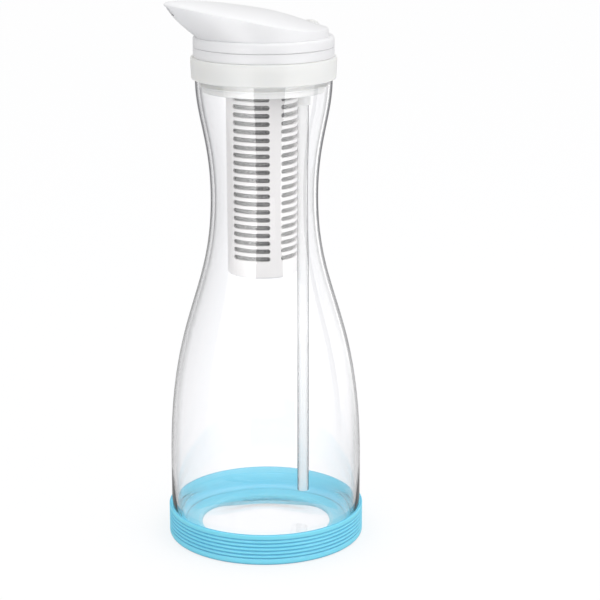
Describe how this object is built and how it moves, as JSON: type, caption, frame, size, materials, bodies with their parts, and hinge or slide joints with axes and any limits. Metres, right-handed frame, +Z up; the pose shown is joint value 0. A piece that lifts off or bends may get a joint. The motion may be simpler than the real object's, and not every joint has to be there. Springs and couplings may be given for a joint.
{
  "type": "water filter carafe",
  "caption": "Waisted glass water carafe in a ribbed silicone boot, with a beaked pouring lid that carries a slotted filter cartridge and a long air tube.",
  "frame": {"origin": "on the table under the carafe's axis", "axes": "+Z up along the carafe's axis, -X the way the beak points, +Y to the right of someone looking from the tail to the beak"},
  "size_m": [0.1141, 0.113, 0.3105],
  "materials": {
    "clear_glass": "clear polished blown glass",
    "blue_silicone": "satin pool-blue silicone rubber",
    "milky_silicone": "milky translucent silicone rubber",
    "white_plastic": "satin white moulded plastic",
    "grey_mesh": "fine woven mesh",
    "dark_granules": "loose dark grey granules",
    "white_felt": "pressed felt",
    "clear_plastic": "clear extruded plastic"
  },
  "bodies": {
    "carafe": {"glass_carafe": "clear_glass", "base_boot": "blue_silicone", "neck_seal": "milky_silicone"},
    "lid": {"lid_base": "white_plastic", "spout_cap": "white_plastic", "cap_gasket": "milky_silicone", "vent_valve": "milky_silicone", "tube_grommet": "milky_silicone"},
    "cartridge_seal": {"cartridge_o_ring": "milky_silicone"},
    "cartridge": {"cartridge_head": "white_plastic", "cartridge_cage": "white_plastic", "mesh_sleeve": "grey_mesh", "filter_granules": "dark_granules", "upper_pad": "white_felt", "lower_pad": "white_felt", "end_cap": "white_plastic"},
    "air_tube": {"air_tube": "clear_plastic"}
  },
  "joints": [
    {"name": "lid_lift", "type": "slide", "parent": "carafe", "child": "lid", "axis": [0, 0, 1], "range_m": [0, 0.275]},
    {"name": "cartridge_drop", "type": "slide", "parent": "lid", "child": "cartridge_seal", "axis": [0, 0, -1], "range_m": [0, 0.006]},
    {"name": "cartridge_unscrew", "type": "hinge", "parent": "cartridge_seal", "child": "cartridge", "pos_m": [-0.0013, 0, 0.27], "axis": [0, 0, -1], "range_deg": [0, 540]},
    {"name": "tube_pull", "type": "slide", "parent": "lid", "child": "air_tube", "axis": [0, 0, -1], "range_m": [0, 0.011]}
  ],
  "couplings": [
    {"joint": "cartridge_drop", "follows": "cartridge_unscrew", "m_per_rad": 0.00063662}
  ]
}
